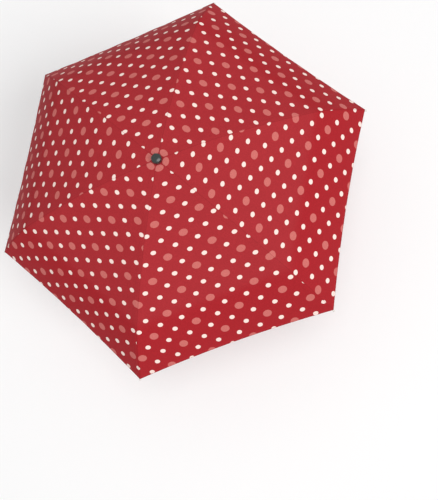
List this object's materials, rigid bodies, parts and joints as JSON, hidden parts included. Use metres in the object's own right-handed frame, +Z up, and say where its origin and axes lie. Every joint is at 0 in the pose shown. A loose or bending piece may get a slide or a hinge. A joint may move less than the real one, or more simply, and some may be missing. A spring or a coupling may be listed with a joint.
{
  "type": "children's folding umbrella",
  "caption": "Compact folding umbrella for a child, open: hexagonal dotted fabric canopy on hinged steel ribs, telescoping shaft and short oblong grip.",
  "frame": {"origin": "centre of the handle's flat end face, on the shaft's axis", "axes": "+Z up the shaft to the ferrule; +X along rib 1, the first of six ribs spaced 60 degrees apart"},
  "size_m": [0.9024, 0.7834, 0.5457],
  "materials": {
    "handle_grey": "satin moulded plastic, cool light grey",
    "steel_tube": "bright plated steel tube",
    "spring_wire": "bright spring steel",
    "black_plastic": "black moulded plastic, soft gloss",
    "rib_steel": "black coated steel",
    "tip_white": "off-white moulded plastic",
    "dotted_cloth": "red polyester cloth printed with white and pink dots"
  },
  "bodies": {
    "handle": {"handle_grip": "handle_grey", "handle_end_cap": "handle_grey", "lower_tube": "steel_tube", "lower_detent_spring": "spring_wire"},
    "middle_shaft": {"middle_tube": "steel_tube", "middle_detent_spring": "spring_wire"},
    "crown": {"top_tube": "steel_tube", "top_notch": "black_plastic", "notch_wire": "spring_wire", "ferrule_cap": "black_plastic", "canopy": "dotted_cloth", "tie_strap": "dotted_cloth"},
    "catch": {"catch_button": "handle_grey"},
    "runner": {"runner": "black_plastic"},
    "top_rib_1": {"top_rib_1": "rib_steel"},
    "stretcher_1": {"stretcher_1": "rib_steel"},
    "middle_rib_1": {"middle_rib_1": "rib_steel"},
    "outer_rib_1": {"outer_rib_1": "rib_steel", "rib_tip_1": "tip_white"},
    "tie_wire_1": {"tie_wire_1": "spring_wire"},
    "top_rib_2": {"top_rib_2": "rib_steel"},
    "stretcher_2": {"stretcher_2": "rib_steel"},
    "middle_rib_2": {"middle_rib_2": "rib_steel"},
    "outer_rib_2": {"outer_rib_2": "rib_steel", "rib_tip_2": "tip_white"},
    "tie_wire_2": {"tie_wire_2": "spring_wire"},
    "top_rib_3": {"top_rib_3": "rib_steel"},
    "stretcher_3": {"stretcher_3": "rib_steel"},
    "middle_rib_3": {"middle_rib_3": "rib_steel"},
    "outer_rib_3": {"outer_rib_3": "rib_steel", "rib_tip_3": "tip_white"},
    "tie_wire_3": {"tie_wire_3": "spring_wire"},
    "top_rib_4": {"top_rib_4": "rib_steel"},
    "stretcher_4": {"stretcher_4": "rib_steel"},
    "middle_rib_4": {"middle_rib_4": "rib_steel"},
    "outer_rib_4": {"outer_rib_4": "rib_steel", "rib_tip_4": "tip_white"},
    "tie_wire_4": {"tie_wire_4": "spring_wire"},
    "top_rib_5": {"top_rib_5": "rib_steel"},
    "stretcher_5": {"stretcher_5": "rib_steel"},
    "middle_rib_5": {"middle_rib_5": "rib_steel"},
    "outer_rib_5": {"outer_rib_5": "rib_steel", "rib_tip_5": "tip_white"},
    "tie_wire_5": {"tie_wire_5": "spring_wire"},
    "top_rib_6": {"top_rib_6": "rib_steel"},
    "stretcher_6": {"stretcher_6": "rib_steel"},
    "middle_rib_6": {"middle_rib_6": "rib_steel"},
    "outer_rib_6": {"outer_rib_6": "rib_steel", "rib_tip_6": "tip_white"},
    "tie_wire_6": {"tie_wire_6": "spring_wire"}
  },
  "joints": [
    {"name": "middle_shaft_slide", "type": "slide", "parent": "handle", "child": "middle_shaft", "axis": [0, 0, 1], "range_m": [-0.16, 0]},
    {"name": "top_shaft_slide", "type": "slide", "parent": "middle_shaft", "child": "crown", "axis": [0, 0, 1], "range_m": [-0.16, 0]},
    {"name": "catch_press", "type": "slide", "parent": "runner", "child": "catch", "axis": [0.866, 0.5, 0], "range_m": [-0.0009, 0], "stiffness_N_per_m": 400},
    {"name": "frame_fold", "type": "hinge", "parent": "crown", "child": "top_rib_1", "pos_m": [0.008, 0, 0.53], "axis": [0, 1, 0], "range_deg": [0, 82.5], "deforming": ["canopy", "tie_strap"]},
    {"name": "stretcher_1_hinge", "type": "hinge", "parent": "top_rib_1", "child": "stretcher_1", "pos_m": [0.07938, 0, 0.5206], "axis": [0, -1, 0], "range_deg": [0, 165]},
    {"name": "middle_rib_1_hinge", "type": "hinge", "parent": "top_rib_1", "child": "middle_rib_1", "pos_m": [0.16692, 0, 0.5113], "axis": [0, -1, 0], "range_deg": [0, 192]},
    {"name": "outer_rib_1_hinge", "type": "hinge", "parent": "middle_rib_1", "child": "outer_rib_1", "pos_m": [0.32381, 0, 0.45107], "axis": [0, 1, 0], "range_deg": [0, 160]},
    {"name": "tie_wire_1_hinge", "type": "hinge", "parent": "top_rib_1", "child": "tie_wire_1", "pos_m": [0.16345, 0, 0.51256], "axis": [0, -1, 0], "range_deg": [0, 192]},
    {"name": "top_rib_2_hinge", "type": "hinge", "parent": "crown", "child": "top_rib_2", "pos_m": [0.004, 0.00693, 0.53], "axis": [-0.866, 0.5, 0], "range_deg": [0, 82.5]},
    {"name": "stretcher_2_hinge", "type": "hinge", "parent": "top_rib_2", "child": "stretcher_2", "pos_m": [0.03969, 0.06875, 0.5206], "axis": [0.866, -0.5, 0], "range_deg": [0, 165]},
    {"name": "middle_rib_2_hinge", "type": "hinge", "parent": "top_rib_2", "child": "middle_rib_2", "pos_m": [0.08346, 0.14456, 0.5113], "axis": [0.866, -0.5, 0], "range_deg": [0, 192]},
    {"name": "outer_rib_2_hinge", "type": "hinge", "parent": "middle_rib_2", "child": "outer_rib_2", "pos_m": [0.16191, 0.28043, 0.45107], "axis": [-0.866, 0.5, 0], "range_deg": [0, 160]},
    {"name": "tie_wire_2_hinge", "type": "hinge", "parent": "top_rib_2", "child": "tie_wire_2", "pos_m": [0.08173, 0.14155, 0.51256], "axis": [0.866, -0.5, 0], "range_deg": [0, 192]},
    {"name": "top_rib_3_hinge", "type": "hinge", "parent": "crown", "child": "top_rib_3", "pos_m": [-0.004, 0.00693, 0.53], "axis": [-0.866, -0.5, 0], "range_deg": [0, 82.5]},
    {"name": "stretcher_3_hinge", "type": "hinge", "parent": "top_rib_3", "child": "stretcher_3", "pos_m": [-0.03969, 0.06875, 0.5206], "axis": [0.866, 0.5, 0], "range_deg": [0, 165]},
    {"name": "middle_rib_3_hinge", "type": "hinge", "parent": "top_rib_3", "child": "middle_rib_3", "pos_m": [-0.08346, 0.14456, 0.5113], "axis": [0.866, 0.5, 0], "range_deg": [0, 192]},
    {"name": "outer_rib_3_hinge", "type": "hinge", "parent": "middle_rib_3", "child": "outer_rib_3", "pos_m": [-0.16191, 0.28043, 0.45107], "axis": [-0.866, -0.5, 0], "range_deg": [0, 160]},
    {"name": "tie_wire_3_hinge", "type": "hinge", "parent": "top_rib_3", "child": "tie_wire_3", "pos_m": [-0.08173, 0.14155, 0.51256], "axis": [0.866, 0.5, 0], "range_deg": [0, 192]},
    {"name": "top_rib_4_hinge", "type": "hinge", "parent": "crown", "child": "top_rib_4", "pos_m": [-0.008, 0, 0.53], "axis": [0, -1, 0], "range_deg": [0, 82.5]},
    {"name": "stretcher_4_hinge", "type": "hinge", "parent": "top_rib_4", "child": "stretcher_4", "pos_m": [-0.07938, 0, 0.5206], "axis": [0, 1, 0], "range_deg": [0, 165]},
    {"name": "middle_rib_4_hinge", "type": "hinge", "parent": "top_rib_4", "child": "middle_rib_4", "pos_m": [-0.16692, 0, 0.5113], "axis": [0, 1, 0], "range_deg": [0, 192]},
    {"name": "outer_rib_4_hinge", "type": "hinge", "parent": "middle_rib_4", "child": "outer_rib_4", "pos_m": [-0.32381, 0, 0.45107], "axis": [0, -1, 0], "range_deg": [0, 160]},
    {"name": "tie_wire_4_hinge", "type": "hinge", "parent": "top_rib_4", "child": "tie_wire_4", "pos_m": [-0.16345, 0, 0.51256], "axis": [0, 1, 0], "range_deg": [0, 192]},
    {"name": "top_rib_5_hinge", "type": "hinge", "parent": "crown", "child": "top_rib_5", "pos_m": [-0.004, -0.00693, 0.53], "axis": [0.866, -0.5, 0], "range_deg": [0, 82.5]},
    {"name": "stretcher_5_hinge", "type": "hinge", "parent": "top_rib_5", "child": "stretcher_5", "pos_m": [-0.03969, -0.06875, 0.5206], "axis": [-0.866, 0.5, 0], "range_deg": [0, 165]},
    {"name": "middle_rib_5_hinge", "type": "hinge", "parent": "top_rib_5", "child": "middle_rib_5", "pos_m": [-0.08346, -0.14456, 0.5113], "axis": [-0.866, 0.5, 0], "range_deg": [0, 192]},
    {"name": "outer_rib_5_hinge", "type": "hinge", "parent": "middle_rib_5", "child": "outer_rib_5", "pos_m": [-0.16191, -0.28043, 0.45107], "axis": [0.866, -0.5, 0], "range_deg": [0, 160]},
    {"name": "tie_wire_5_hinge", "type": "hinge", "parent": "top_rib_5", "child": "tie_wire_5", "pos_m": [-0.08173, -0.14155, 0.51256], "axis": [-0.866, 0.5, 0], "range_deg": [0, 192]},
    {"name": "top_rib_6_hinge", "type": "hinge", "parent": "crown", "child": "top_rib_6", "pos_m": [0.004, -0.00693, 0.53], "axis": [0.866, 0.5, 0], "range_deg": [0, 82.5]},
    {"name": "stretcher_6_hinge", "type": "hinge", "parent": "top_rib_6", "child": "stretcher_6", "pos_m": [0.03969, -0.06875, 0.5206], "axis": [-0.866, -0.5, 0], "range_deg": [0, 165]},
    {"name": "middle_rib_6_hinge", "type": "hinge", "parent": "top_rib_6", "child": "middle_rib_6", "pos_m": [0.08346, -0.14456, 0.5113], "axis": [-0.866, -0.5, 0], "range_deg": [0, 192]},
    {"name": "outer_rib_6_hinge", "type": "hinge", "parent": "middle_rib_6", "child": "outer_rib_6", "pos_m": [0.16191, -0.28043, 0.45107], "axis": [0.866, 0.5, 0], "range_deg": [0, 160]},
    {"name": "tie_wire_6_hinge", "type": "hinge", "parent": "top_rib_6", "child": "tie_wire_6", "pos_m": [0.08173, -0.14155, 0.51256], "axis": [-0.866, -0.5, 0], "range_deg": [0, 192]},
    {"name": "runner_slide", "type": "slide", "parent": "crown", "child": "runner", "axis": [0, 0, -1], "range_m": [0, 0.12521]}
  ],
  "couplings": [
    {"joint": "stretcher_1_hinge", "follows": "frame_fold", "ratio": 2},
    {"joint": "middle_rib_1_hinge", "follows": "frame_fold", "ratio": 2.3273},
    {"joint": "outer_rib_1_hinge", "follows": "frame_fold", "ratio": 1.9394},
    {"joint": "tie_wire_1_hinge", "follows": "frame_fold", "ratio": 2.3273},
    {"joint": "top_rib_2_hinge", "follows": "frame_fold", "ratio": 1},
    {"joint": "stretcher_2_hinge", "follows": "frame_fold", "ratio": 2},
    {"joint": "middle_rib_2_hinge", "follows": "frame_fold", "ratio": 2.3273},
    {"joint": "outer_rib_2_hinge", "follows": "frame_fold", "ratio": 1.9394},
    {"joint": "tie_wire_2_hinge", "follows": "frame_fold", "ratio": 2.3273},
    {"joint": "top_rib_3_hinge", "follows": "frame_fold", "ratio": 1},
    {"joint": "stretcher_3_hinge", "follows": "frame_fold", "ratio": 2},
    {"joint": "middle_rib_3_hinge", "follows": "frame_fold", "ratio": 2.3273},
    {"joint": "outer_rib_3_hinge", "follows": "frame_fold", "ratio": 1.9394},
    {"joint": "tie_wire_3_hinge", "follows": "frame_fold", "ratio": 2.3273},
    {"joint": "top_rib_4_hinge", "follows": "frame_fold", "ratio": 1},
    {"joint": "stretcher_4_hinge", "follows": "frame_fold", "ratio": 2},
    {"joint": "middle_rib_4_hinge", "follows": "frame_fold", "ratio": 2.3273},
    {"joint": "outer_rib_4_hinge", "follows": "frame_fold", "ratio": 1.9394},
    {"joint": "tie_wire_4_hinge", "follows": "frame_fold", "ratio": 2.3273},
    {"joint": "top_rib_5_hinge", "follows": "frame_fold", "ratio": 1},
    {"joint": "stretcher_5_hinge", "follows": "frame_fold", "ratio": 2},
    {"joint": "middle_rib_5_hinge", "follows": "frame_fold", "ratio": 2.3273},
    {"joint": "outer_rib_5_hinge", "follows": "frame_fold", "ratio": 1.9394},
    {"joint": "tie_wire_5_hinge", "follows": "frame_fold", "ratio": 2.3273},
    {"joint": "top_rib_6_hinge", "follows": "frame_fold", "ratio": 1},
    {"joint": "stretcher_6_hinge", "follows": "frame_fold", "ratio": 2},
    {"joint": "middle_rib_6_hinge", "follows": "frame_fold", "ratio": 2.3273},
    {"joint": "outer_rib_6_hinge", "follows": "frame_fold", "ratio": 1.9394},
    {"joint": "tie_wire_6_hinge", "follows": "frame_fold", "ratio": 2.3273},
    {"joint": "runner_slide", "follows": "frame_fold", "m_per_rad": 0.086954}
  ]
}
